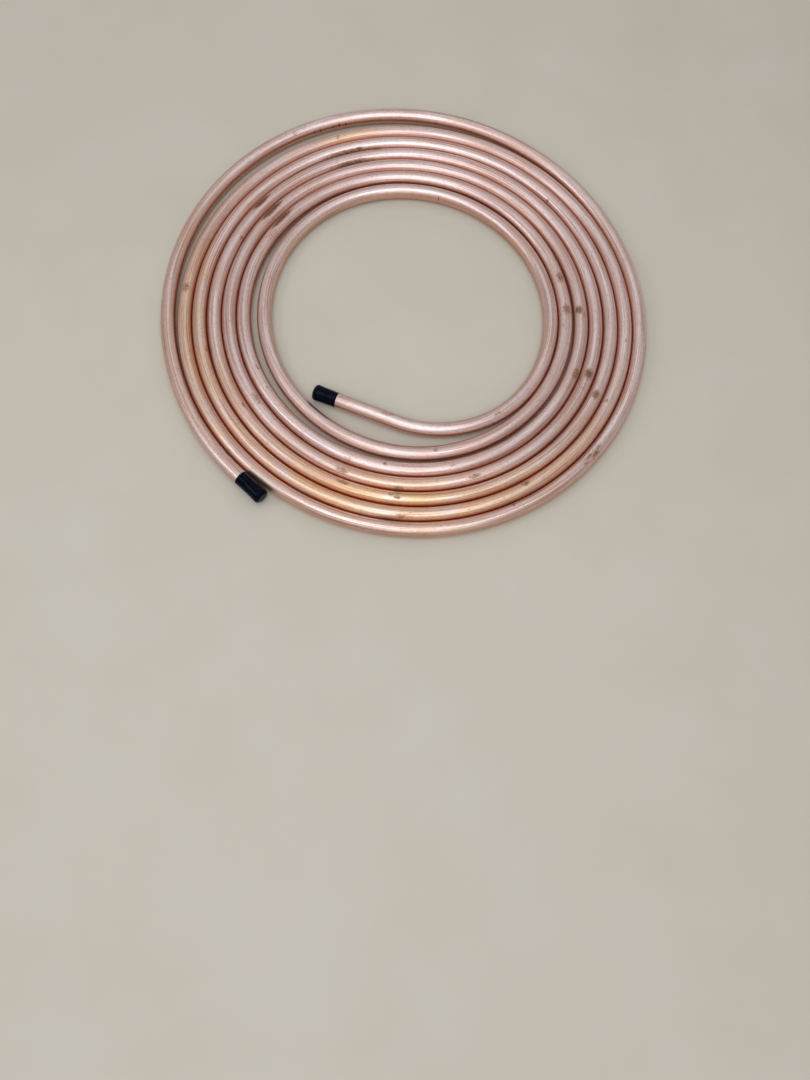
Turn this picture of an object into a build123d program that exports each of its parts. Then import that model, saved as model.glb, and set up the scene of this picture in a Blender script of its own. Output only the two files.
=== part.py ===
# Coil of soft copper tube: one length of hollow tube wound flat in a single layer,
# with a push-on cap on each of its two free ends.
# Millimetres. The coil lies on its side, +Z up, and the origin is on the floor
# under the middle of its footprint.
from build123d import *
import math
import os

# Tube stock
TUBE_OD = 15.0
TUBE_WALL = 1.0
TUBE_END_ROUNDING = 0.3       # the cutter rolls the outer edge in a little

# Winding, seen from above: it starts at the outer end and runs clockwise, inward.
# Radii are taken to the tube's centre line, and places are in turns.
INNER_RADIUS = 148.53         # at the inner end, if every turn lay tight
WOUND_TURNS = 6.72
TURN_GAP = 0.3                # clear gap between two tight turns
OUTER_ANGLE = 232.0           # degrees from +X to the outer end of the winding
OVALITY = 2.3                 # how far the long axis stands out from a true circle
OVAL_ANGLE = 132.0            # degrees from +X to the long axis
SPANS_PER_TURN = 8            # each span is a pair of tangent arcs

# Where the turns don't touch. The outermost has sprung open, most of all at about a third
# of a turn. The last full one lies a little loose, draws in further, and closes up again.
SPRUNG_GAP = 10.2
SPRUNG_OPENS = (0.05, 0.32)   # from the outer end
SPRUNG_CLOSES = (0.31, 0.58)
LOOSE_GAP = 1.0
LOOSE_OPENS = (1.27, 1.07)    # this and the rest before the inner end of the winding
SLACK_GAP = 4.7
SLACK_OPENS = (0.98, 0.59)
SLACK_CLOSES = (0.59, 0.37)
LAST_GAP = 1.1
LAST_CLOSES = (0.30, 0.10)

# Free ends. Each leaves the winding level and rises towards its cap.
OUTER_RISE_TURNS = 0.12       # the part of the outermost turn that rises
OUTER_LEAD = 4.6              # straight tube in front of the cap
OUTER_CAP_CLEARANCE = 3.6     # floor to the cap's closed end, which stands beside the next turn
INNER_BEND_ANGLE = 80.2       # degrees, after which the tube runs straight
INNER_STRAIGHT = 86.2
INNER_CAP_GAP = 3.0           # cap to the turn beside it, seen from above; sets the bend's radius
INNER_CAP_CLEARANCE = 1.5

# Push-on end caps. They fill out towards the closed end.
CAP_WALL = 0.5                # at the rim
CAP_FLARE = 0.35              # how much larger the closed end's radius is
CAP_FIT = 0.05                # bore over tube, on the radius
CAP_END_THICKNESS = 1.6
CAP_END_ROUNDING = 2.4
CAP_RIM_ROUNDING = 0.2
OUTER_CAP_LENGTH = 31.0
INNER_CAP_LENGTH = 25.0

TUBE_RADIUS = TUBE_OD / 2
BORE_RADIUS = TUBE_RADIUS - TUBE_WALL
PITCH = TUBE_OD + TURN_GAP
CAP_BORE_RADIUS = TUBE_RADIUS + CAP_FIT
CAP_RIM_RADIUS = CAP_BORE_RADIUS + CAP_WALL
CAP_END_RADIUS = CAP_RIM_RADIUS + CAP_FLARE


def eased(turn, first, last):
    """0 up to the first place, 1 from the last, and smooth between them."""
    share = min(max((turn - first) / (last - first), 0), 1)
    return 0.5 - 0.5 * math.cos(math.pi * share)


def centre_line(turn):
    """Point of the tube's centre line, that many turns from the outer end of the winding."""
    angle = math.radians(OUTER_ANGLE - 360 * turn)
    radius = INNER_RADIUS + PITCH * (WOUND_TURNS - turn)
    radius += OVALITY * math.cos(2 * (angle - math.radians(OVAL_ANGLE)))
    radius += SPRUNG_GAP * (eased(turn, *SPRUNG_OPENS) - eased(turn, *SPRUNG_CLOSES))
    to_end = WOUND_TURNS - turn
    radius -= LOOSE_GAP * eased(to_end, *LOOSE_OPENS)
    radius -= SLACK_GAP * eased(to_end, *SLACK_OPENS)
    radius += (SLACK_GAP - LAST_GAP) * eased(to_end, *SLACK_CLOSES)
    radius += LAST_GAP * eased(to_end, *LAST_CLOSES)
    return Vector(radius * math.cos(angle), radius * math.sin(angle), TUBE_RADIUS)


def heading(turn):
    """Direction in which the winding runs there, level and of length 1."""
    step = 1e-4
    return (centre_line(turn + step) - centre_line(turn - step)).normalized()


def arc_pair(start, start_heading, end, end_heading):
    """Two arcs from start to end, tangent to both headings and to each other."""
    chord = end - start
    along = chord.dot(start_heading + end_heading)
    bend = 2 * (1 - start_heading.dot(end_heading))
    reach = (math.sqrt(along**2 + bend * chord.dot(chord)) - along) / bend
    middle = (start + start_heading * reach + end - end_heading * reach) * 0.5
    first = TangentArc(start, middle, tangent=start_heading)
    return [first, TangentArc(middle, end, tangent=first % 1)]


def winding(first, last):
    """The winding's arcs between two places, given in turns from its outer end."""
    spans = math.ceil((last - first) * SPANS_PER_TURN)
    stops = [first + (last - first) * i / spans for i in range(spans + 1)]
    arcs = []
    for a, b in zip(stops, stops[1:]):
        arcs += arc_pair(centre_line(a), heading(a), centre_line(b), heading(b))
    return arcs


def raised(edges, turn, cap_end, clearance):
    """Tips a free end about the winding's tangent at its root, so that its cap clears the floor."""
    root, tangent = centre_line(turn), heading(turn)
    offset = tangent.cross(cap_end - root)
    rise = CAP_END_RADIUS - TUBE_RADIUS + clearance
    tip = math.degrees(math.asin(rise / offset.length)) * math.copysign(1, offset.Z)
    return [edge.rotate(Axis(root, tangent), tip) for edge in edges]


def outer_end():
    """The last stretch of the outermost turn and the straight in its cap, from the end inward."""
    start, back = centre_line(0), heading(0) * -1
    straight = OUTER_CAP_LENGTH - CAP_END_THICKNESS + OUTER_LEAD
    edges = [Line(start + back * straight, start)] + winding(0, OUTER_RISE_TURNS)
    cap_end = start + back * (straight + CAP_END_THICKNESS)
    return raised(edges, OUTER_RISE_TURNS, cap_end, OUTER_CAP_CLEARANCE)


def inner_bend(radius):
    """The level bend that swings the inner free end into the eye."""
    return JernArc(centre_line(WOUND_TURNS), heading(WOUND_TURNS), radius, -INNER_BEND_ANGLE)


def inner_gap(radius):
    """Clear gap, seen from above, between the inner cap's far corner and the turn beside it."""
    bend = inner_bend(radius)
    out = bend % 1
    corner = (bend @ 1 + out * (INNER_STRAIGHT + CAP_END_THICKNESS)
              + Vector(-out.Y, out.X, 0) * CAP_END_RADIUS)
    turn = (OUTER_ANGLE - math.degrees(math.atan2(corner.Y, corner.X))) / 360
    turn += math.floor(WOUND_TURNS - turn)
    beside = centre_line(turn)
    return math.hypot(beside.X, beside.Y) - TUBE_RADIUS - math.hypot(corner.X, corner.Y)


def inner_radius():
    """The bend's radius, found by halving: the tighter the bend, the wider the gap."""
    tight, easy = INNER_RADIUS / 3, INNER_RADIUS
    for _ in range(40):
        middle = (tight + easy) / 2
        if inner_gap(middle) < INNER_CAP_GAP:
            easy = middle
        else:
            tight = middle
    return tight


def inner_end():
    """The free end that swings into the eye: one easy bend and a straight."""
    bend = inner_bend(inner_radius())
    out = bend % 1
    straight = Line(bend @ 1, bend @ 1 + out * INNER_STRAIGHT)
    cap_end = straight @ 1 + out * CAP_END_THICKNESS
    return raised([bend, straight], WOUND_TURNS, cap_end, INNER_CAP_CLEARANCE)


def copper_tube(path):
    """The tube, hollow from end to end."""
    section = Circle(TUBE_RADIUS) - Circle(BORE_RADIUS)
    tube = sweep(Plane(origin=path @ 0, z_dir=path % 0) * section, path=path)
    rims = [edge for edge in tube.edges().filter_by(GeomType.CIRCLE)
            if abs(edge.radius - TUBE_RADIUS) < 1e-6
            and min((edge.arc_center - path @ 0).length, (edge.arc_center - path @ 1).length) < 1e-3]
    return fillet(rims, TUBE_END_ROUNDING)


def end_cap(length, tube_end, outward):
    """A soft cup pushed over the tube until its floor meets the tube's end."""
    centred = (Align.CENTER, Align.CENTER, Align.MIN)
    body = Cone(CAP_RIM_RADIUS, CAP_END_RADIUS, length, align=centred)
    body = fillet(body.edges().sort_by(Axis.Z)[-1], CAP_END_ROUNDING)
    cup = body - Cylinder(CAP_BORE_RADIUS, length - CAP_END_THICKNESS, align=centred)
    cup = fillet(cup.faces().sort_by(Axis.Z)[0].edges(), CAP_RIM_ROUNDING)
    rim = tube_end - outward * (length - CAP_END_THICKNESS)
    return Plane(origin=rim, z_dir=outward) * cup


path = Wire(outer_end() + winding(OUTER_RISE_TURNS, WOUND_TURNS) + inner_end())
pieces = {
    "copper_tube": copper_tube(path),
    "outer_end_cap": end_cap(OUTER_CAP_LENGTH, path @ 0, (path % 0) * -1),
    "inner_end_cap": end_cap(INNER_CAP_LENGTH, path @ 1, path % 1),
}

# The footprint's middle goes to the origin
footprint = Compound(list(pieces.values())).bounding_box()
to_origin = Location((-footprint.center().X, -footprint.center().Y, 0))

os.makedirs("parts", exist_ok=True)
for name, piece in pieces.items():
    export_step(to_origin * piece, f"parts/{name}.step")

section_area = math.pi * (TUBE_RADIUS**2 - BORE_RADIUS**2)
print(f"tube length {path.length:.0f} mm, volume {pieces['copper_tube'].volume:.0f} mm3,"
      f" section times length {section_area * path.length:.0f} mm3")
print(f"footprint {footprint.size.X:.1f} x {footprint.size.Y:.1f} mm, height {footprint.size.Z:.1f} mm,"
      f" its middle {footprint.center().X:.2f}, {footprint.center().Y:.2f} from the winding's")
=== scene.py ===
# Coil of soft copper tube lying flat, with a black push-on cap on each free end.
# Metres, +Z up. The floor is at height 0 and the coil's footprint is centred on the origin.
import bisect
import bmesh
import bpy
import math
from collections import namedtuple
from mathutils import Matrix, Vector, noise


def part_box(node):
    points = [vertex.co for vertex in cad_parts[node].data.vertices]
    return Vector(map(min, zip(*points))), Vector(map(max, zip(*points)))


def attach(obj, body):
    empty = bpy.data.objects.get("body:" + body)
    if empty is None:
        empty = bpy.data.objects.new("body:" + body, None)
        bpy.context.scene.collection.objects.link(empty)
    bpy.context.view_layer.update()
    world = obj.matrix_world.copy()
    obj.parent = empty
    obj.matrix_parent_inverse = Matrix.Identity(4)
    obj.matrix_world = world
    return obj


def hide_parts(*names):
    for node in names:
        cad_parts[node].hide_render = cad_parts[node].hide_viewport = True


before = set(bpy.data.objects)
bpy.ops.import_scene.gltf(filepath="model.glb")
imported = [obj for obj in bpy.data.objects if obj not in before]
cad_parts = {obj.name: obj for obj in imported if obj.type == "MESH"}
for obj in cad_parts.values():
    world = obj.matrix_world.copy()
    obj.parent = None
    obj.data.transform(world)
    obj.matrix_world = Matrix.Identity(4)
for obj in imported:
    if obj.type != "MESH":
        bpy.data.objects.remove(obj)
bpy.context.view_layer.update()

# Tube stock
TUBE_RADIUS = 0.0075
TUBE_WALL = 0.001
BORE_RADIUS = TUBE_RADIUS - TUBE_WALL
TUBE_END_ROUNDING = 0.0003
RIM_STEPS = ((0, 1), (0.3, 0.3))  # shares of that rounding, inward from the end and from the outside
WAVE_DEPTH = 0.00006          # of the broad waves that handling leaves in soft tube
WAVE_SCALES = (1, 22)         # how close they lie, round the tube and in a metre of it

# Winding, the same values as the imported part's. Radii are the tube's centre line's,
# angles are in degrees from +X, and places are in turns from the winding's outer end.
INNER_RADIUS = 0.14853
WOUND_TURNS = 6.72
TURN_GAP = 0.0003             # clear gap between two tight turns
PITCH = 2 * TUBE_RADIUS + TURN_GAP
OUTER_ANGLE = 232.0
OVALITY = 0.0023
OVAL_ANGLE = 132.0
SPRUNG_GAP = 0.0102           # the outermost turn has sprung open
SPRUNG_OPENS = (0.05, 0.32)
SPRUNG_CLOSES = (0.31, 0.58)
LOOSE_GAP = 0.0010            # the last full turn lies loose, draws in further and closes again
LOOSE_OPENS = (1.27, 1.07)    # this and the rest before the inner end of the winding
SLACK_GAP = 0.0047
SLACK_OPENS = (0.98, 0.59)
SLACK_CLOSES = (0.59, 0.37)
LAST_GAP = 0.0011
LAST_CLOSES = (0.30, 0.10)

# End caps
CAP_FIT = 0.00005             # bore over tube, on the radius
CAP_BORE_RADIUS = TUBE_RADIUS + CAP_FIT
CAP_WALL = 0.0005             # at the rim
CAP_RIM_RADIUS = CAP_BORE_RADIUS + CAP_WALL
CAP_FLARE = 0.00035           # how much larger the closed end's radius is
INNER_CAP_FLARE = 0.00075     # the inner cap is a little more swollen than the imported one
CAP_FLOOR = 0.0016
CAP_END_ROUNDING = 0.0036
CAP_RIM_ROUNDING = 0.0002
OUTER_CAP_LENGTH = 0.031
INNER_CAP_LENGTH = 0.025
CREASE_DEPTH = 0.0007         # of the broad folds in the soft wall
CREASE_SCALES = (1.3, 90)     # how close they lie, round the cap and in a metre of it
PUCKER_DEPTH = 0.00022        # the same for the small folds
PUCKER_SCALES = (2.86, 160)
RIM_SOFTNESS = 0.3            # the share of those folds that the rim has
END_SOFTNESS = 0.7            # and the closed end

# Free ends. Each leaves the winding level and rises towards its cap.
OUTER_RISE_TURNS = 0.12       # the part of the outermost turn that rises
OUTER_LEAD = 0.0046           # straight tube in front of the cap
OUTER_STRAIGHT = OUTER_CAP_LENGTH - CAP_FLOOR + OUTER_LEAD
OUTER_CAP_CLEARANCE = 0.0036  # floor to the cap's closed end
INNER_BEND_RADIUS = 0.116258  # leaves 3 mm between the inner cap and the turn beside it
INNER_BEND_ANGLE = 80.2
INNER_STRAIGHT = 0.0862
INNER_CAP_CLEARANCE = 0.0015

# Points along the centre line, in each stretch from the outer end inward
OUTER_STRAIGHT_POINTS = 17
OUTER_RISE_POINTS = 90
WINDING_POINTS = 1400
INNER_BEND_POINTS = 110
INNER_STRAIGHT_POINTS = 34

# How finely the meshes are divided
TUBE_SIDES = 36               # flats round the outside
BORE_SIDES = 12
RING_STEP = 0.0052            # from one ring of points to the next, along the tube
FINE_STEP = 0.0014            # the same where it is marked
FINE_SHARE = 0.6              # fine rings reach that share of a mark's length either way,
FINE_MARGIN = 0.002           # and this much further
BORE_STEP = 0.018
CAP_SIDES = 64
CAP_WALL_RINGS = 26
CAP_ROUNDING_RINGS = 6
CAP_FLOOR_SHARES = (0, 0.6, 1)          # of the bore's radius, from the floor's middle outward
CAP_CLOSING_SHARES = (0.8, 0.55, 0.3, 0)  # of the closed end's flat radius, inward
UV_ROWS = 14                  # the outside is laid out in this many, and the bore in one more
UV_MARGIN = 0.004             # at both ends of a row
UV_ROW_MARGIN = 0.04          # along its sides, as a share of its height

# Marks on the copper: turns from the outer end, degrees round the tube from its top towards the
# outside, length along the tube, width round it, and strength, where 1 is strong and more makes
# a mark dark nearly to its edge. A nick also has a depth.
Mark = namedtuple("Mark", "turn side long wide strong deep", defaults=(0,))
MARK_REACH = 1.5              # in half lengths and half widths, where a mark has faded out
NICK_SPREAD = 0.7             # half length of a nick's dip, as a share of the nick's length
NICK_REACH = 1.4              # in half lengths and half widths of the dip, where it has faded out
NICK_END = 0.003              # the dip is cut off this far along from its middle
STAINS = [Mark(*row) for row in (
    # Upper left, with three long ones side by side
    (5.241, 18, 0.029, 0.0060, 1.50), (4.2415, 14, 0.029, 0.0060, 1.50), (3.2385, 17, 0.023, 0.0058, 1.50),
    (5.223, -26, 0.022, 0.0100, 0.40), (3.202, -45, 0.006, 0.0040, 0.80), (1.150, 7, 0.012, 0.0110, 0.70),
    (0.298, -31, 0.008, 0.0050, 0.45),
    # Top
    (3.332, -58, 0.050, 0.0060, 0.85), (2.339, -50, 0.008, 0.0045, 0.95), (3.335, 50, 0.060, 0.0060, 0.85),
    (3.352, 44, 0.014, 0.0070, 0.80), (4.330, 56, 0.046, 0.0060, 0.90), (2.325, -60, 0.058, 0.0055, 0.80),
    (1.325, -10, 0.004, 0.0060, 0.60),
    # Right
    (5.633, 6, 0.013, 0.0085, 0.85), (4.633, -27, 0.010, 0.0085, 1.00), (4.638, 21, 0.008, 0.0060, 0.60),
    (5.595, 8, 0.014, 0.0080, 0.85), (4.697, 34, 0.014, 0.0090, 0.80), (3.694, 7, 0.013, 0.0095, 1.00),
    (2.707, 1, 0.011, 0.0085, 0.95), (1.707, -26, 0.005, 0.0040, 0.80), (3.708, 9, 0.005, 0.0070, 0.40),
    (2.516, -50, 0.004, 0.0040, 0.90), (5.651, -13, 0.012, 0.0070, 0.35), (1.560, 30, 0.010, 0.0050, 0.45),
    # Lower right
    (0.746, 8, 0.009, 0.0028, 0.95), (0.752, -8, 0.008, 0.0026, 0.95), (0.741, -3, 0.007, 0.0024, 0.80),
    (0.757, 14, 0.008, 0.0026, 0.80), (0.749, 22, 0.010, 0.0030, 0.85), (1.798, -22, 0.010, 0.0050, 0.80),
    (0.813, -44, 0.004, 0.0060, 0.95), (3.831, 12, 0.013, 0.0040, 0.75), (4.846, 5, 0.006, 0.0040, 0.45),
    (5.857, -5, 0.006, 0.0035, 0.65),
    # Bottom
    (0.897, -60, 0.026, 0.0055, 0.75), (1.886, 40, 0.022, 0.0060, 0.55), (4.904, -11, 0.004, 0.0035, 1.00),
    (3.938, 14, 0.014, 0.0070, 0.60), (2.936, -17, 0.012, 0.0045, 0.80), (4.939, 33, 0.010, 0.0060, 0.40),
    (3.893, 55, 0.010, 0.0060, 0.75), (2.892, 8, 0.008, 0.0030, 0.85), (2.898, -12, 0.007, 0.0028, 0.80),
    (2.890, -20, 0.006, 0.0026, 0.80),
    # Lower left
    (4.039, -15, 0.015, 0.0060, 0.65), (3.039, -27, 0.008, 0.0040, 0.70), (5.065, -21, 0.008, 0.0040, 0.60),
    (5.042, -14, 0.006, 0.0030, 0.55), (2.095, -45, 0.005, 0.0040, 0.70), (1.014, 50, 0.008, 0.0050, 0.70),
    (6.075, -3, 0.010, 0.0040, 0.35),
    # The bend into the eye
    (6.780, 10, 0.012, 0.0050, 0.50), (6.905, -20, 0.015, 0.0060, 0.55),
)]
NICKS = [Mark(*row) for row in (
    (6.416, -64, 0.0013, 0.0070, 0.9, 0.00012), (0.403, -76, 0.0012, 0.0040, 0.7, 0.00010),
    (0.390, -76, 0.0012, 0.0035, 0.6, 0.00010), (0.339, -78, 0.0018, 0.0034, 1.0, 0.00012),
    (0.333, -72, 0.0022, 0.0034, 1.0, 0.00012), (0.327, -76, 0.0018, 0.0032, 0.9, 0.00010),
    (0.320, -76, 0.0020, 0.0034, 0.9, 0.00010), (0.311, -74, 0.0018, 0.0030, 0.8, 0.00008),
    (0.154, -7, 0.0012, 0.0030, 0.7, 0.00010), (4.592, -10, 0.0012, 0.0080, 0.5, 0.00006),
    (3.001, 32, 0.0014, 0.0040, 0.7, 0.00008), (3.890, 30, 0.0014, 0.0110, 0.7, 0.00008),
    (2.897, 5, 0.0014, 0.0090, 0.8, 0.00008), (0.986, -14, 0.0014, 0.0080, 0.4, 0.00006),
    (1.659, 1, 0.0060, 0.0012, 0.8, 0.00006), (0.719, -28, 0.0014, 0.0050, 0.9, 0.00008),
)]
# Bruises where the surface is scraped rough
SCUFFS = [Mark(*row) for row in (
    (0.749, 4, 0.020, 0.0110, 0.9), (0.753, -27, 0.018, 0.0080, 0.8), (6.960, 0, 0.020, 0.0090, 0.6),
    (7.060, -10, 0.016, 0.0080, 0.5), (1.130, 20, 0.020, 0.0060, 0.35), (2.760, -10, 0.018, 0.0060, 0.35),
)]
# Shallow flats where the tube was pressed
Dent = namedtuple("Dent", "turn side long deep")
DENT_ANGLE = 0.6              # radians either way round the tube
DENTS = [Dent(*row) for row in (
    (0.988, 48, 0.030, 0.00035), (0.735, 30, 0.026, 0.00030), (6.980, 60, 0.034, 0.00035),
    (5.760, 20, 0.040, 0.00025), (3.480, -10, 0.036, 0.00020), (1.420, -30, 0.030, 0.00025),
    (0.180, 20, 0.034, 0.00025), (4.530, -40, 0.030, 0.00020), (6.260, -20, 0.036, 0.00025),
)]
# Stretches with a golden tarnish: turns, how far it reaches either way in turns, strength
TARNISH = [
    (0.12, 0.08, 0.35), (0.87, 0.07, 0.40), (1.10, 0.11, 0.75), (1.86, 0.13, 1.00), (2.00, 0.06, 0.45),
    (2.13, 0.11, 0.50), (2.88, 0.12, 1.00), (3.06, 0.07, 0.30), (3.90, 0.08, 0.50), (1.33, 0.03, 0.60),
]

# Lamps: name, place, what it is aimed at, width and height, watts, colour
LAMPS = [
    ("main", (-0.05, -0.64, 1.6), (0, -0.05, 0), (1.20, 1.75), 12.6, (0.94, 0.97, 1.0)),
    ("left", (-1.35, -0.33, 1.25), (0, 0, 0), (0.50, 0.50), 2.7, (0.93, 0.97, 1.0)),
    ("far", (-0.13, 0.95, 1.40), (0, 0, 0), (1.3, 1.3), 1.5, (0.95, 0.98, 1.0)),
]
WORLD_COLOUR = (1.0, 0.965, 0.92, 1)
WORLD_STRENGTH = 0.49
FLOOR_HALF = 6.0

# Camera. The photograph's focal length is in its own pixels.
CAMERA_PLACE = (0.01923, -0.48091, 0.7519)
CAMERA_TILT = 16.78           # degrees from straight down, towards +Y
CAMERA_ROLL = -4.42
PHOTO_FOCAL = 811
PHOTO_HEIGHT = 1080
SENSOR = 36                   # millimetres


def eased(turn, first, last):
    """0 up to the first place, 1 from the last, and smooth between them."""
    share = min(max((turn - first) / (last - first), 0), 1)
    return 0.5 - 0.5 * math.cos(math.pi * share)


def winding_point(turn):
    """Point of the tube's centre line, that many turns from the outer end of the winding."""
    angle = math.radians(OUTER_ANGLE - 360 * turn)
    radius = INNER_RADIUS + PITCH * (WOUND_TURNS - turn)
    radius += OVALITY * math.cos(2 * (angle - math.radians(OVAL_ANGLE)))
    radius += SPRUNG_GAP * (eased(turn, *SPRUNG_OPENS) - eased(turn, *SPRUNG_CLOSES))
    to_end = WOUND_TURNS - turn
    radius -= LOOSE_GAP * eased(to_end, *LOOSE_OPENS)
    radius -= SLACK_GAP * eased(to_end, *SLACK_OPENS)
    radius += (SLACK_GAP - LAST_GAP) * eased(to_end, *SLACK_CLOSES)
    radius += LAST_GAP * eased(to_end, *LAST_CLOSES)
    return Vector((radius * math.cos(angle), radius * math.sin(angle), TUBE_RADIUS))


def heading(turn):
    """Direction in which the winding runs there, level and of length 1."""
    step = 1e-4
    return (winding_point(turn + step) - winding_point(turn - step)).normalized()


def raised(points, turn, cap_end, clearance):
    """Points of a free end, tipped about the winding's tangent until its cap clears the floor."""
    root, tangent = winding_point(turn), heading(turn)
    offset = tangent.cross(cap_end - root)
    rise = CAP_RIM_RADIUS + CAP_FLARE - TUBE_RADIUS + clearance
    tip = math.copysign(math.asin(rise / offset.length), offset.z)
    turned = Matrix.Rotation(tip, 3, tangent)
    return [root + turned @ (point - root) for point in points]


def outer_end():
    """The straight in the outer cap and the rising stretch of the outermost turn, from the end inward."""
    start, back = winding_point(0), -heading(0)
    points = [start + back * OUTER_STRAIGHT * (1 - i / OUTER_STRAIGHT_POINTS)
              for i in range(OUTER_STRAIGHT_POINTS)]
    points += [winding_point(OUTER_RISE_TURNS * i / OUTER_RISE_POINTS) for i in range(OUTER_RISE_POINTS)]
    cap_end = start + back * (OUTER_STRAIGHT + CAP_FLOOR)
    return raised(points, OUTER_RISE_TURNS, cap_end, OUTER_CAP_CLEARANCE)


def inner_end():
    """The bend into the eye and the straight after it."""
    end, ahead = winding_point(WOUND_TURNS), heading(WOUND_TURNS)
    centre = end + Vector((ahead.y, -ahead.x, 0)) * INNER_BEND_RADIUS
    points = []
    for i in range(INNER_BEND_POINTS + 1):
        bent = Matrix.Rotation(-math.radians(INNER_BEND_ANGLE) * i / INNER_BEND_POINTS, 3, "Z")
        points.append(centre + bent @ (end - centre))
    out = bent @ ahead
    straight = points[-1]
    points += [straight + out * INNER_STRAIGHT * i / INNER_STRAIGHT_POINTS
               for i in range(1, INNER_STRAIGHT_POINTS + 1)]
    cap_end = straight + out * (INNER_STRAIGHT + CAP_FLOOR)
    return raised(points, WOUND_TURNS, cap_end, INNER_CAP_CLEARANCE)


class Route:
    """The tube's centre line, from the outer tube end, which can be asked for any place along it."""

    def __init__(self):
        outer, inner = outer_end(), inner_end()
        winding = [winding_point(self.turn_of(i)) for i in range(WINDING_POINTS)]
        self.points = outer + winding + inner
        self.lengths = [0.0]
        for a, b in zip(self.points, self.points[1:]):
            self.lengths.append(self.lengths[-1] + (b - a).length)
        self.length = self.lengths[-1]
        self.first = len(outer)
        self.start = self.lengths[OUTER_STRAIGHT_POINTS]
        self.level = self.lengths[self.first]
        self.end = self.lengths[self.first + WINDING_POINTS]

    @staticmethod
    def turn_of(i):
        """The place in turns of a point of the level winding."""
        return OUTER_RISE_TURNS + (WOUND_TURNS - OUTER_RISE_TURNS) * i / WINDING_POINTS

    def at(self, length):
        """Place and heading there."""
        i = min(max(bisect.bisect_right(self.lengths, length) - 1, 0), len(self.points) - 2)
        a, b = self.points[i], self.points[i + 1]
        share = (length - self.lengths[i]) / (self.lengths[i + 1] - self.lengths[i])
        before = (b - self.points[max(i - 1, 0)]).normalized()
        after = (self.points[min(i + 2, len(self.points) - 1)] - a).normalized()
        return a.lerp(b, share), before.lerp(after, share).normalized()

    def square_to(self, length):
        """Place there, and the level and the raised direction square to the tube."""
        place, ahead = self.at(length)
        out = Vector((0, 0, 1)).cross(ahead).normalized()
        return place, out, ahead.cross(out)

    def along(self, turn):
        """Length from the outer tube end to that place of the winding, or past it into the bend."""
        if turn <= OUTER_RISE_TURNS:
            return self.start + (self.level - self.start) * turn / OUTER_RISE_TURNS
        if turn >= WOUND_TURNS:
            return self.end + (turn - WOUND_TURNS) * 2 * math.pi * INNER_RADIUS
        share = (turn - OUTER_RISE_TURNS) / (WOUND_TURNS - OUTER_RISE_TURNS)
        return self.lengths[self.first + round(share * WINDING_POINTS)]

    def turn(self, length):
        """The place in turns of a length along the tube."""
        if length < self.level:
            return OUTER_RISE_TURNS * (length - self.start) / (self.level - self.start)
        if length > self.end:
            return WOUND_TURNS + (length - self.end) / (2 * math.pi * INNER_RADIUS)
        return self.turn_of(bisect.bisect_right(self.lengths, length) - 1 - self.first)

    def placed(self, marks):
        """Pairs of the length at which a mark has its middle, and the mark."""
        return [(self.along(mark.turn), mark) for mark in marks]


def ring_places(route):
    """Lengths along the tube at which it has a ring of points, closer where it has marks."""
    fine = []
    for middle, mark in route.placed(STAINS + NICKS + SCUFFS):
        half = FINE_SHARE * mark.long + FINE_MARGIN
        fine.append((middle - half, middle + half))
    places, length = [], TUBE_END_ROUNDING
    while length < route.length - TUBE_END_ROUNDING:
        places.append(length)
        near = any(first - RING_STEP < length < last for first, last in fine)
        length += FINE_STEP if near else RING_STEP
    return places + [route.length - TUBE_END_ROUNDING]


def uneven(turned, place, scales, seed=0):
    """Smooth noise from 0 to 1, with a scale for the way round the tube or cap and one along it."""
    around, along = scales
    spot = (around * math.cos(turned), around * math.sin(turned), along * place + seed)
    return 0.5 + 0.5 * noise.noise(Vector(spot))


def angle_from(side, degrees):
    """Radians round the tube from a mark's middle, the shorter way."""
    return math.radians((degrees - side + 180) % 360 - 180)


def faded(along, across, reach):
    """1 well inside an oval of half lengths, and down to 0 where its reach ends."""
    return min(max(reach - math.hypot(along, across), 0), 1)


def strength(length, degrees, marks):
    """The strongest of the marks there, at its full strength in its middle and 0 outside it."""
    best = 0
    for middle, mark in marks:
        along = (length - middle) / (0.5 * mark.long)
        if abs(along) < MARK_REACH:
            across = angle_from(mark.side, degrees) * TUBE_RADIUS / (0.5 * mark.wide)
            best = max(best, mark.strong * faded(along, across, MARK_REACH))
    return best


def sunk(length, degrees, nicks, dents):
    """How far the skin lies inside the true round there."""
    depth = 0
    for middle, nick in nicks:
        if abs(length - middle) < NICK_END:
            along = (length - middle) / (NICK_SPREAD * nick.long)
            across = angle_from(nick.side, degrees) * TUBE_RADIUS / (0.5 * nick.wide)
            depth = max(depth, nick.deep * faded(along, across, NICK_REACH))
    for middle, dent in dents:
        if abs(length - middle) < dent.long:
            along = (length - middle) / (0.5 * dent.long)
            across = angle_from(dent.side, degrees) / DENT_ANGLE
            depth = max(depth, dent.deep * math.exp(-(along**2 + across**2)))
    return depth + WAVE_DEPTH * uneven(math.radians(degrees), length, WAVE_SCALES)


def golden(turn):
    """How strong the golden tarnish is there."""
    return sum(strong * math.exp(-((turn - middle) / reach)**2) for middle, reach, strong in TARNISH)


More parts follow.
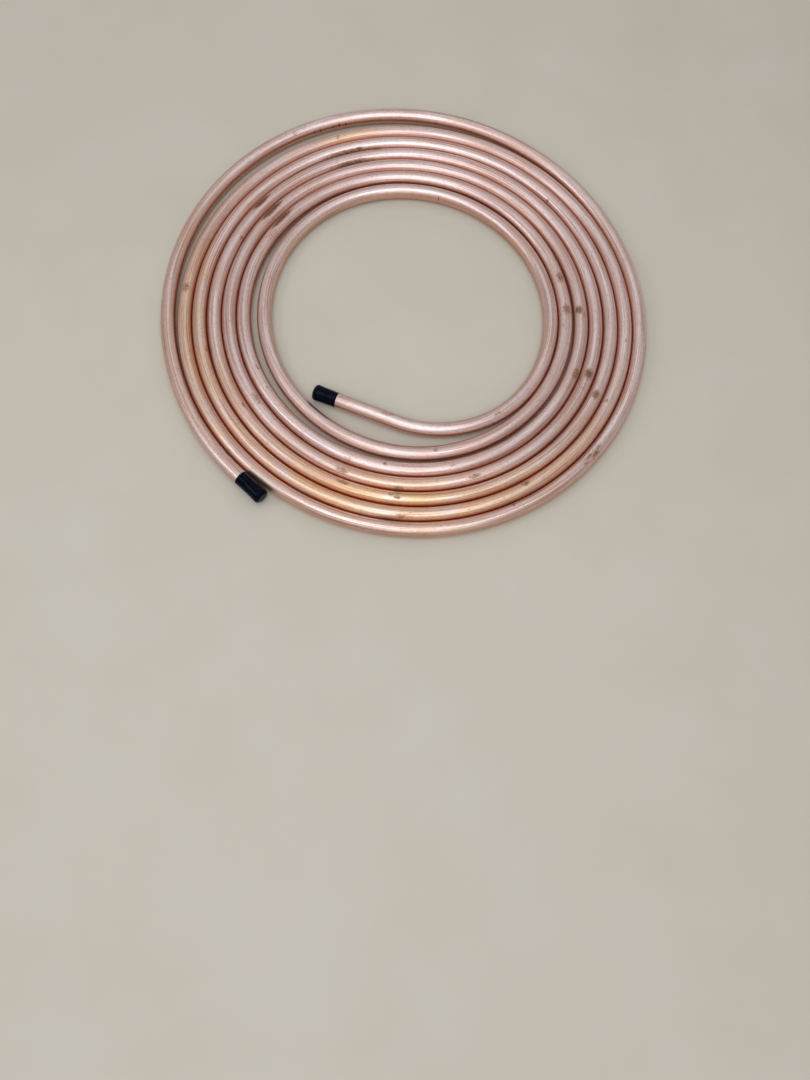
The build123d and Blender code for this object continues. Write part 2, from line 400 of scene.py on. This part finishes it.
class Skin:
    """The tube's points, ring after ring, with the values that its material reads at each."""

    def __init__(self, route):
        self.route = route
        self.points, self.rings = [], []
        self.along = []           # places on the straightened tube: up, out, and along it
        self.values = {"stain": [], "nick": [], "scuff": [], "tarnish": []}
        self.stains, self.nicks = route.placed(STAINS), route.placed(NICKS)
        self.scuffs, self.dents = route.placed(SCUFFS), route.placed(DENTS)

    def ring(self, length, radius, sides, dressed=False):
        """Adds a ring of points. Only a dressed one has marks, dents and waves."""
        place, out, up = self.route.square_to(length)
        self.rings.append(range(len(self.points), len(self.points) + sides))
        tarnish = golden(self.route.turn(length))
        for i in range(sides):
            turned = 2 * math.pi * i / sides
            degrees = math.degrees(turned)
            marks, reach = (0, 0, 0), radius
            if dressed:
                marks = [strength(length, degrees, kind) for kind in (self.stains, self.nicks, self.scuffs)]
                reach -= sunk(length, degrees, self.nicks, self.dents)
            side = up * math.cos(turned) + out * math.sin(turned)
            self.points.append(place + side * reach)
            self.along.append((radius * math.cos(turned), radius * math.sin(turned), length))
            for values, value in zip(self.values.values(), (*marks, tarnish)):
                values.append(value)

    def mesh(self, name, faces):
        """The mesh, which carries the values as attributes of its points."""
        mesh = bpy.data.meshes.new(name)
        mesh.from_pydata([tuple(point) for point in self.points], [], faces)
        layer = mesh.attributes.new("along", "FLOAT_VECTOR", "POINT")
        layer.data.foreach_set("vector", [number for place in self.along for number in place])
        for kind, values in self.values.items():
            layer = mesh.attributes.new(kind, "FLOAT", "POINT")
            layer.data.foreach_set("value", values)
        return mesh


def tube_mesh(route):
    """The hollow tube: rounded rims, dressed outside, and a plain bore back to the first rim."""
    skin = Skin(route)
    for inset, shrink in RIM_STEPS:
        skin.ring(inset * TUBE_END_ROUNDING, TUBE_RADIUS - shrink * TUBE_END_ROUNDING, TUBE_SIDES)
    for length in ring_places(route):
        skin.ring(length, TUBE_RADIUS, TUBE_SIDES, dressed=True)
    for inset, shrink in reversed(RIM_STEPS):
        place = route.length - inset * TUBE_END_ROUNDING
        skin.ring(place, TUBE_RADIUS - shrink * TUBE_END_ROUNDING, TUBE_SIDES)
    outer = len(skin.rings)
    bore_steps = round(route.length / BORE_STEP)
    for i in range(bore_steps + 1):
        skin.ring(route.length * (1 - i / bore_steps), BORE_RADIUS, BORE_SIDES)

    outside, bore = skin.rings[:outer], skin.rings[outer:]
    faces = []
    for a, b in [*zip(outside, outside[1:]), *zip(bore[1:], bore)]:
        faces += joined(a, b)
    faces += rim(outside[-1], bore[0]) + rim(outside[0], bore[-1])
    mesh = skin.mesh("copper_tube_skin", faces)
    face_outward(mesh)
    unwrap(mesh, skin.along, route.length)
    mesh.shade_smooth()
    return mesh


def joined(a, b):
    """Faces between two rings of points, either of which may be a single point."""
    faces = []
    count = max(len(a), len(b))
    for i in range(count):
        j = (i + 1) % count
        if len(a) == 1:
            faces.append((a[0], b[j], b[i]))
        elif len(b) == 1:
            faces.append((a[i], a[j], b[0]))
        else:
            faces.append((a[i], a[j], b[j], b[i]))
    return faces


def rim(outer, inner):
    """The flat end of the tube, whose outer ring has a few times as many points as the bore's."""
    faces = []
    share = len(outer) // len(inner)
    for i in range(len(inner)):
        j = (i + 1) % len(inner)
        for k in range(i * share, (i + 1) * share):
            faces.append((outer[k], outer[(k + 1) % len(outer)], inner[i]))
        faces.append((outer[j * share], inner[j], inner[i]))
    return faces


def face_outward(mesh):
    """Turns every face of a closed mesh to the outside."""
    work = bmesh.new()
    work.from_mesh(mesh)
    bmesh.ops.recalc_face_normals(work, faces=work.faces)
    work.to_mesh(mesh)
    work.free()


def unwrap(mesh, along, total):
    """A UV layout in rows: the outside cut into equal lengths, one to a row, and the bore in the last."""
    layer = mesh.uv_layers.new(name="OFBake")
    for face in mesh.polygons:
        places = [along[v] for v in face.vertices]
        middle = sum(p[2] for p in places) / len(places)
        in_bore = max(math.hypot(p[0], p[1]) for p in places) < TUBE_RADIUS - 0.5 * TUBE_WALL
        row = UV_ROWS if in_bore else min(int(middle / total * UV_ROWS), UV_ROWS - 1)
        shares = [math.atan2(p[1], p[0]) / (2 * math.pi) % 1 for p in places]
        if max(shares) - min(shares) > 0.5:
            shares = [share + 1 if share < 0.5 else share for share in shares]
        for corner, place, share in zip(face.loop_indices, places, shares):
            u = place[2] / total if in_bore else place[2] / total * UV_ROWS - row
            u = UV_MARGIN + (1 - 2 * UV_MARGIN) * min(max(u, 0), 1)
            v = row + UV_ROW_MARGIN + (1 - 2 * UV_ROW_MARGIN) * min(share, 1)
            layer.data[corner].uv = (u, v / (UV_ROWS + 1))


def cap_outline(length, flare):
    """Half the cap's section, from its floor's middle over the rim to the middle of its closed end.

    Each point has its place from the rim, its radius, and how soft the cap is there, up to 1."""
    slope = flare / length
    outline = [(length - CAP_FLOOR, CAP_BORE_RADIUS * share, 0) for share in CAP_FLOOR_SHARES]
    outline += [
        (CAP_RIM_ROUNDING, CAP_BORE_RADIUS, 0),
        (0, CAP_BORE_RADIUS + CAP_RIM_ROUNDING, 0),
        (0, CAP_RIM_RADIUS - CAP_RIM_ROUNDING, RIM_SOFTNESS),
        (CAP_RIM_ROUNDING, CAP_RIM_RADIUS, RIM_SOFTNESS),
    ]
    last = length - CAP_END_ROUNDING
    for i in range(1, CAP_WALL_RINGS + 1):
        place = CAP_RIM_ROUNDING + (last - CAP_RIM_ROUNDING) * i / CAP_WALL_RINGS
        outline.append((place, CAP_RIM_RADIUS + slope * place, 1))
    for i in range(1, CAP_ROUNDING_RINGS + 1):
        turned = math.pi / 2 * i / CAP_ROUNDING_RINGS
        radius = CAP_RIM_RADIUS + slope * last - CAP_END_ROUNDING * (1 - math.cos(turned))
        outline.append((last + CAP_END_ROUNDING * math.sin(turned), radius, 1))
    closing = outline[-1][1]
    return outline + [(length, closing * share, END_SOFTNESS) for share in CAP_CLOSING_SHARES]


def cap_mesh(name, length, flare, tube_end, outward, seed):
    """A soft cup pushed over the tube until its floor meets the tube's end."""
    side = outward.cross(Vector((0, 0, 1))).normalized()
    up = side.cross(outward)
    mouth = tube_end - outward * (length - CAP_FLOOR)
    points, rings = [], []
    for place, radius, soft in cap_outline(length, flare):
        first = len(points)
        if radius == 0:
            points.append(mouth + outward * place)
        else:
            for i in range(CAP_SIDES):
                turned = 2 * math.pi * i / CAP_SIDES
                crease = CREASE_DEPTH * uneven(turned, place, CREASE_SCALES, seed)
                pucker = PUCKER_DEPTH * uneven(turned, place, PUCKER_SCALES, seed + 7)
                inset = soft * pucker if place == length else 0
                reach = radius - soft * (crease + pucker)
                across = side * math.cos(turned) + up * math.sin(turned)
                points.append(mouth + outward * (place - inset) + across * reach)
        rings.append(range(first, len(points)))
    mesh = bpy.data.meshes.new(name)
    faces = [face for a, b in zip(rings, rings[1:]) for face in joined(a, b)]
    mesh.from_pydata([tuple(point) for point in points], [], faces)
    face_outward(mesh)
    mesh.shade_smooth()
    return mesh


class Nodes:
    """A material's nodes. Each call adds one or two, links them, and returns what comes out."""

    def __init__(self, name):
        self.material = bpy.data.materials.new(name)
        self.material.use_nodes = True
        self.tree = self.material.node_tree
        self.shader = next(node for node in self.tree.nodes if node.type == "BSDF_PRINCIPLED")

    def put(self, node, name, value):
        """Links a value to a node's input, or sets it there where it is plain."""
        if isinstance(value, bpy.types.NodeSocket):
            self.tree.links.new(value, node.inputs[name])
        else:
            node.inputs[name].default_value = value

    def calculated(self, operation, *values, clamp=False):
        node = self.tree.nodes.new("ShaderNodeMath")
        node.operation = operation
        node.use_clamp = clamp
        for i, value in enumerate(values):
            self.put(node, i, value)
        return node.outputs[0]

    def times(self, a, b, clamp=False):
        return self.calculated("MULTIPLY", a, b, clamp=clamp)

    def times_plus(self, a, b, c):
        return self.calculated("MULTIPLY_ADD", a, b, c)

    def noise(self, place, scale, detail, roughness):
        node = self.tree.nodes.new("ShaderNodeTexNoise")
        self.put(node, "Vector", place)
        self.put(node, "Scale", scale)
        self.put(node, "Detail", detail)
        self.put(node, "Roughness", roughness)
        return node.outputs[0]

    def tube_noise(self, place, across, along, detail, roughness):
        """Noise on the straightened tube, with its own scale across the tube and along it."""
        node = self.tree.nodes.new("ShaderNodeVectorMath")
        node.operation = "MULTIPLY"
        self.put(node, 0, place)
        self.put(node, 1, (across, across, along))
        return self.noise(node.outputs[0], 1.0, detail, roughness)

    def ramp(self, value, low, high):
        """0 below low, 1 above high, and smooth between them."""
        node = self.tree.nodes.new("ShaderNodeMapRange")
        node.interpolation_type = "SMOOTHSTEP"
        self.put(node, "Value", value)
        self.put(node, "From Min", low)
        self.put(node, "From Max", high)
        return node.outputs[0]

    def mix(self, share, a, b):
        """A colour between two. A Mix node keeps its colours in these numbered sockets."""
        node = self.tree.nodes.new("ShaderNodeMix")
        node.data_type = "RGBA"
        self.put(node, 0, share)
        self.put(node, 6, a)
        self.put(node, 7, b)
        return node.outputs[2]

    def tint(self, base, share, most, tone):
        """The base, turned towards a tone by up to the most given."""
        return self.mix(self.times(share, most), base, tone)

    def attribute(self, name, output="Fac"):
        node = self.tree.nodes.new("ShaderNodeAttribute")
        node.attribute_name = name
        return node.outputs[output]

    def first(self, vector):
        """The first number of a vector."""
        node = self.tree.nodes.new("ShaderNodeSeparateXYZ")
        self.put(node, 0, vector)
        return node.outputs[0]

    def object_place(self):
        return self.tree.nodes.new("ShaderNodeTexCoord").outputs["Object"]

    def bump(self, height, strength, distance):
        """Gives the shader a relief."""
        node = self.tree.nodes.new("ShaderNodeBump")
        self.put(node, "Strength", strength)
        self.put(node, "Distance", distance)
        self.put(node, "Height", height)
        self.put(self.shader, "Normal", node.outputs[0])


def colour(r, g, b):
    """A colour from its sRGB values, 0 to 255."""
    def linear(value):
        value /= 255
        return value / 12.92 if value <= 0.04045 else ((value + 0.055) / 1.055)**2.4
    return (linear(r), linear(g), linear(b), 1)


# Copper's colours. Those in pairs run from darker to paler, or from the flank to the crown.
# The crown's whiter colour is a painted highlight, and the flanks' warmer orange is a painted reflection of
# the turns beside them.
PAINTED_FLANK_REFLECTION = (colour(220, 168, 146), colour(235, 191, 170))
PAINTED_CROWN_HIGHLIGHT = (colour(219, 196, 193), colour(241, 224, 225))
# The golden tarnish is real; the paler of its two tones goes on the tube's top as a painted highlight.
GOLD_TARNISH_AND_SHEEN = (colour(220, 146, 92), colour(238, 193, 138))
CLOUD = colour(224, 178, 154)
BAND = colour(204, 146, 124)
DRAWING_LINE = colour(168, 116, 100)
BRIGHT_LINE = colour(246, 228, 224)
MOTTLE = colour(180, 134, 118)
STAIN_HAZE = colour(162, 116, 84)
STAIN_CORE = colour(104, 68, 46)
STAIN_DOT = colour(112, 74, 56)
NICKED = colour(84, 50, 40)
SCUFFED = colour(140, 98, 76)

# Patterns on the copper: how close each lies across the tube and along it, detail and roughness
STREAKS = (1100, 9, 3.0, 0.6)
THREADS = (1500, 7, 2.0, 0.5)
BANDS = (430, 11, 3.0, 0.6)
SHADES = (160, 5, 2.0, 0.5)
CLOUDS = (60, 26, 3.0, 0.55)
MOTTLES = (640, 260, 3.0, 0.6)
RAGGED = (420, 330, 4.0, 0.65)
FLECKS = (620, 420, 2.0, 0.5)
SCRAPES = (900, 700, 3.0, 0.7)

# Vinyl's and the floor's colours, also in pairs. The vinyl's are linear, because they are so dark.
VINYL = ((0.0004, 0.0007, 0.0022, 1), (0.0012, 0.0019, 0.0055, 1))
VINYL_GLOSS = colour(156, 172, 222)
FLOOR = (colour(196, 190, 178), colour(206, 201, 190))


def copper_with_painted_light(nodes, along):
    """Bright copper, paler and whiter on the tube's top as a painted highlight and warmer on its flanks as
    a painted reflection, and golden where it is tarnished.
    """
    # Painted highlight: 1 on the tube's top and 0 on its flanks, choosing the paler, whiter colours there
    lit_crown = nodes.ramp(nodes.first(along), 0.22 * TUBE_RADIUS, 0.85 * TUBE_RADIUS)
    shade = nodes.ramp(nodes.tube_noise(along, *SHADES), 0.32, 0.68)
    cloud = nodes.tube_noise(along, *CLOUDS)
    base = nodes.mix(lit_crown, nodes.mix(shade, *PAINTED_FLANK_REFLECTION), nodes.mix(shade, *PAINTED_CROWN_HIGHLIGHT))
    base = nodes.tint(base, nodes.ramp(cloud, 0.45, 0.75), 0.40, CLOUD)
    tarnish = nodes.times(nodes.attribute("tarnish"), nodes.ramp(cloud, 0.15, 0.62), clamp=True)
    # Golden tarnish, paler on the tube's top as a painted highlight
    return nodes.tint(base, tarnish, 0.85, nodes.mix(lit_crown, *GOLD_TARNISH_AND_SHEEN))


def drawn(nodes, along, base, bands, streaks):
    """The lines that drawing leaves along the tube, some of them bright, and a fine mottle."""
    base = nodes.tint(base, nodes.ramp(bands, 0.50, 0.66), 0.38, BAND)
    base = nodes.tint(base, nodes.ramp(streaks, 0.50, 0.62), 0.62, DRAWING_LINE)
    threads = nodes.tube_noise(along, *THREADS)
    base = nodes.tint(base, nodes.ramp(threads, 0.54, 0.66), 0.50, BRIGHT_LINE)
    mottle = nodes.tube_noise(along, *MOTTLES)
    return nodes.tint(base, nodes.ramp(mottle, 0.52, 0.66), 0.32, MOTTLE)


def stained(nodes, along, base):
    """Brown stains with ragged edges, dark inside, with dots about them, and where they are."""
    mark = nodes.attribute("stain")
    ragged = nodes.times_plus(nodes.tube_noise(along, *RAGGED), 1.5, -0.75)
    ragged = nodes.times_plus(mark, 1.1, ragged)
    haze = nodes.ramp(ragged, 0.15, 0.75)
    core = nodes.ramp(ragged, 0.60, 1.20)
    flecks = nodes.tube_noise(along, *FLECKS)
    dots = nodes.ramp(nodes.times_plus(mark, 0.16, flecks), 0.70, 0.76)
    base = nodes.tint(base, haze, 0.58, STAIN_HAZE)
    base = nodes.tint(base, core, 0.70, STAIN_CORE)
    base = nodes.tint(base, dots, 0.60, STAIN_DOT)
    return base, nodes.calculated("MAXIMUM", haze, dots)


def copper():
    """Soft-annealed copper: satin, with drawing lines, tarnish, stains, dull nicks and scuffs, and a
    painted highlight on the tube's top and painted reflection on its flanks.
    """
    nodes = Nodes("satin_copper")
    along = nodes.attribute("along", "Vector")
    streaks = nodes.tube_noise(along, *STREAKS)
    bands = nodes.tube_noise(along, *BANDS)
    scraped = nodes.tube_noise(along, *SCRAPES)
    base = drawn(nodes, along, copper_with_painted_light(nodes, along), bands, streaks)
    base, stain = stained(nodes, along, base)
    base = nodes.tint(base, nodes.ramp(nodes.attribute("nick"), 0.30, 0.65), 0.85, NICKED)
    scuff = nodes.times(nodes.attribute("scuff"), nodes.ramp(scraped, 0.50, 0.58))
    base = nodes.tint(base, scuff, 0.75, SCUFFED)
    rough = 0.29
    for cause, more in ((streaks, 0.16), (bands, 0.08), (stain, 0.20), (scuff, 0.15)):
        rough = nodes.times_plus(cause, more, rough)
    grit = nodes.times(scraped, nodes.times_plus(scuff, 1.2, 0.15))
    nodes.put(nodes.shader, "Base Color", base)
    nodes.put(nodes.shader, "Metallic", nodes.times_plus(stain, -0.25, 1.0))
    nodes.put(nodes.shader, "Roughness", rough)
    nodes.bump(nodes.times_plus(streaks, 0.5, grit), 0.35, 0.00012)
    return nodes.material


def vinyl():
    """Glossy black soft vinyl, a little blue, with a fine uneven skin."""
    nodes = Nodes("black_vinyl")
    place = nodes.object_place()
    blotch = nodes.noise(place, 160.0, 3.0, 0.6)
    grain = nodes.noise(place, 1500.0, 3.0, 0.6)
    rough = nodes.times_plus(blotch, 0.14, nodes.times_plus(grain, 0.06, 0.05))
    nodes.put(nodes.shader, "Base Color", nodes.mix(nodes.ramp(blotch, 0.35, 0.7), *VINYL))
    nodes.put(nodes.shader, "Roughness", rough)
    nodes.put(nodes.shader, "Specular IOR Level", 0.15)
    nodes.put(nodes.shader, "Specular Tint", VINYL_GLOSS)
    nodes.bump(nodes.times_plus(grain, 0.3, blotch), 0.6, 0.0003)
    return nodes.material


def added(name, data):
    """An object of that mesh, lamp or camera, in the scene."""
    thing = bpy.data.objects.new(name, data)
    bpy.context.scene.collection.objects.link(thing)
    return thing


def floor():
    """A plain pale floor."""
    corners = [(x * FLOOR_HALF, y * FLOOR_HALF, 0) for x, y in ((-1, -1), (1, -1), (1, 1), (-1, 1))]
    mesh = bpy.data.meshes.new("floor")
    mesh.from_pydata(corners, [], [(0, 1, 2, 3)])
    nodes = Nodes("pale_floor")
    mottle = nodes.noise(nodes.object_place(), 9.0, 4.0, 0.55)
    nodes.put(nodes.shader, "Base Color", nodes.mix(mottle, *FLOOR))
    nodes.put(nodes.shader, "Roughness", 0.65)
    mesh.materials.append(nodes.material)
    thing = added("floor", mesh)


def light():
    """Plain soft light: a large lamp above the near side, two weaker ones, and a pale world."""
    for name, place, aim, size, power, tint in LAMPS:
        lamp = bpy.data.lights.new(name, "AREA")
        lamp.shape = "RECTANGLE"
        lamp.size, lamp.size_y = size
        lamp.energy = power
        lamp.color = tint
        thing = added(name, lamp)
        thing.location = place
        thing.rotation_euler = (Vector(aim) - Vector(place)).to_track_quat("-Z", "Y").to_euler()
    world = bpy.data.worlds.new("world")
    world.use_nodes = True
    background = world.node_tree.nodes["Background"]
    background.inputs["Color"].default_value = WORLD_COLOUR
    background.inputs["Strength"].default_value = WORLD_STRENGTH
    bpy.context.scene.world = world


def camera():
    """Where the photograph was taken from: 0.75 m up, looking almost straight down."""
    tilt, roll = math.radians(CAMERA_TILT), math.radians(CAMERA_ROLL)
    ahead = Vector((0, math.sin(tilt), -math.cos(tilt)))
    right = Vector((1, 0, 0))
    down = ahead.cross(right)
    across = right * math.cos(roll) + down * math.sin(roll)
    up = right * math.sin(roll) - down * math.cos(roll)
    data = bpy.data.cameras.new("camera")
    data.sensor_width = SENSOR
    data.sensor_fit = "AUTO"
    data.lens = PHOTO_FOCAL / PHOTO_HEIGHT * SENSOR
    data.clip_start = 0.01
    data.clip_end = 20
    thing = added("camera", data)
    turned = Matrix((across, up, -ahead)).transposed().to_4x4()
    thing.matrix_world = Matrix.Translation(CAMERA_PLACE) @ turned
    bpy.context.scene.camera = thing


def centred(mesh, low, high):
    """How far a mesh has to move, level, for its box to have the same middle as the given one."""
    xs = [v.co.x for v in mesh.vertices]
    ys = [v.co.y for v in mesh.vertices]
    return Vector((low[0] + high[0] - min(xs) - max(xs), low[1] + high[1] - min(ys) - max(ys), 0)) / 2


def piece(name, mesh, material, node):
    """A piece of the coil that stands for a CAD node."""
    thing = added(name, mesh)
    mesh.materials.append(material)
    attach(thing, "root")
    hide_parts(node)
    return thing


camera()
floor()
light()
bpy.context.scene.view_settings.view_transform = "Standard"

route = Route()
skin = tube_mesh(route)
shift = centred(skin, *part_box("copper_tube"))
skin.transform(Matrix.Translation(shift))
tube = piece("copper_tube_skin", skin, copper(), "copper_tube")

black = vinyl()
for name, node, length, flare, tube_end, way_out, seed in (
        ("outer_cap_skin", "outer_end_cap", OUTER_CAP_LENGTH, CAP_FLARE, 0, -1, 3),
        ("inner_cap_skin", "inner_end_cap", INNER_CAP_LENGTH, INNER_CAP_FLARE, route.length, 1, 11)):
    place, ahead = route.at(tube_end)
    cup = cap_mesh(name, length, flare, place + shift, ahead * way_out, seed)
    cap = piece(name, cup, black, node)
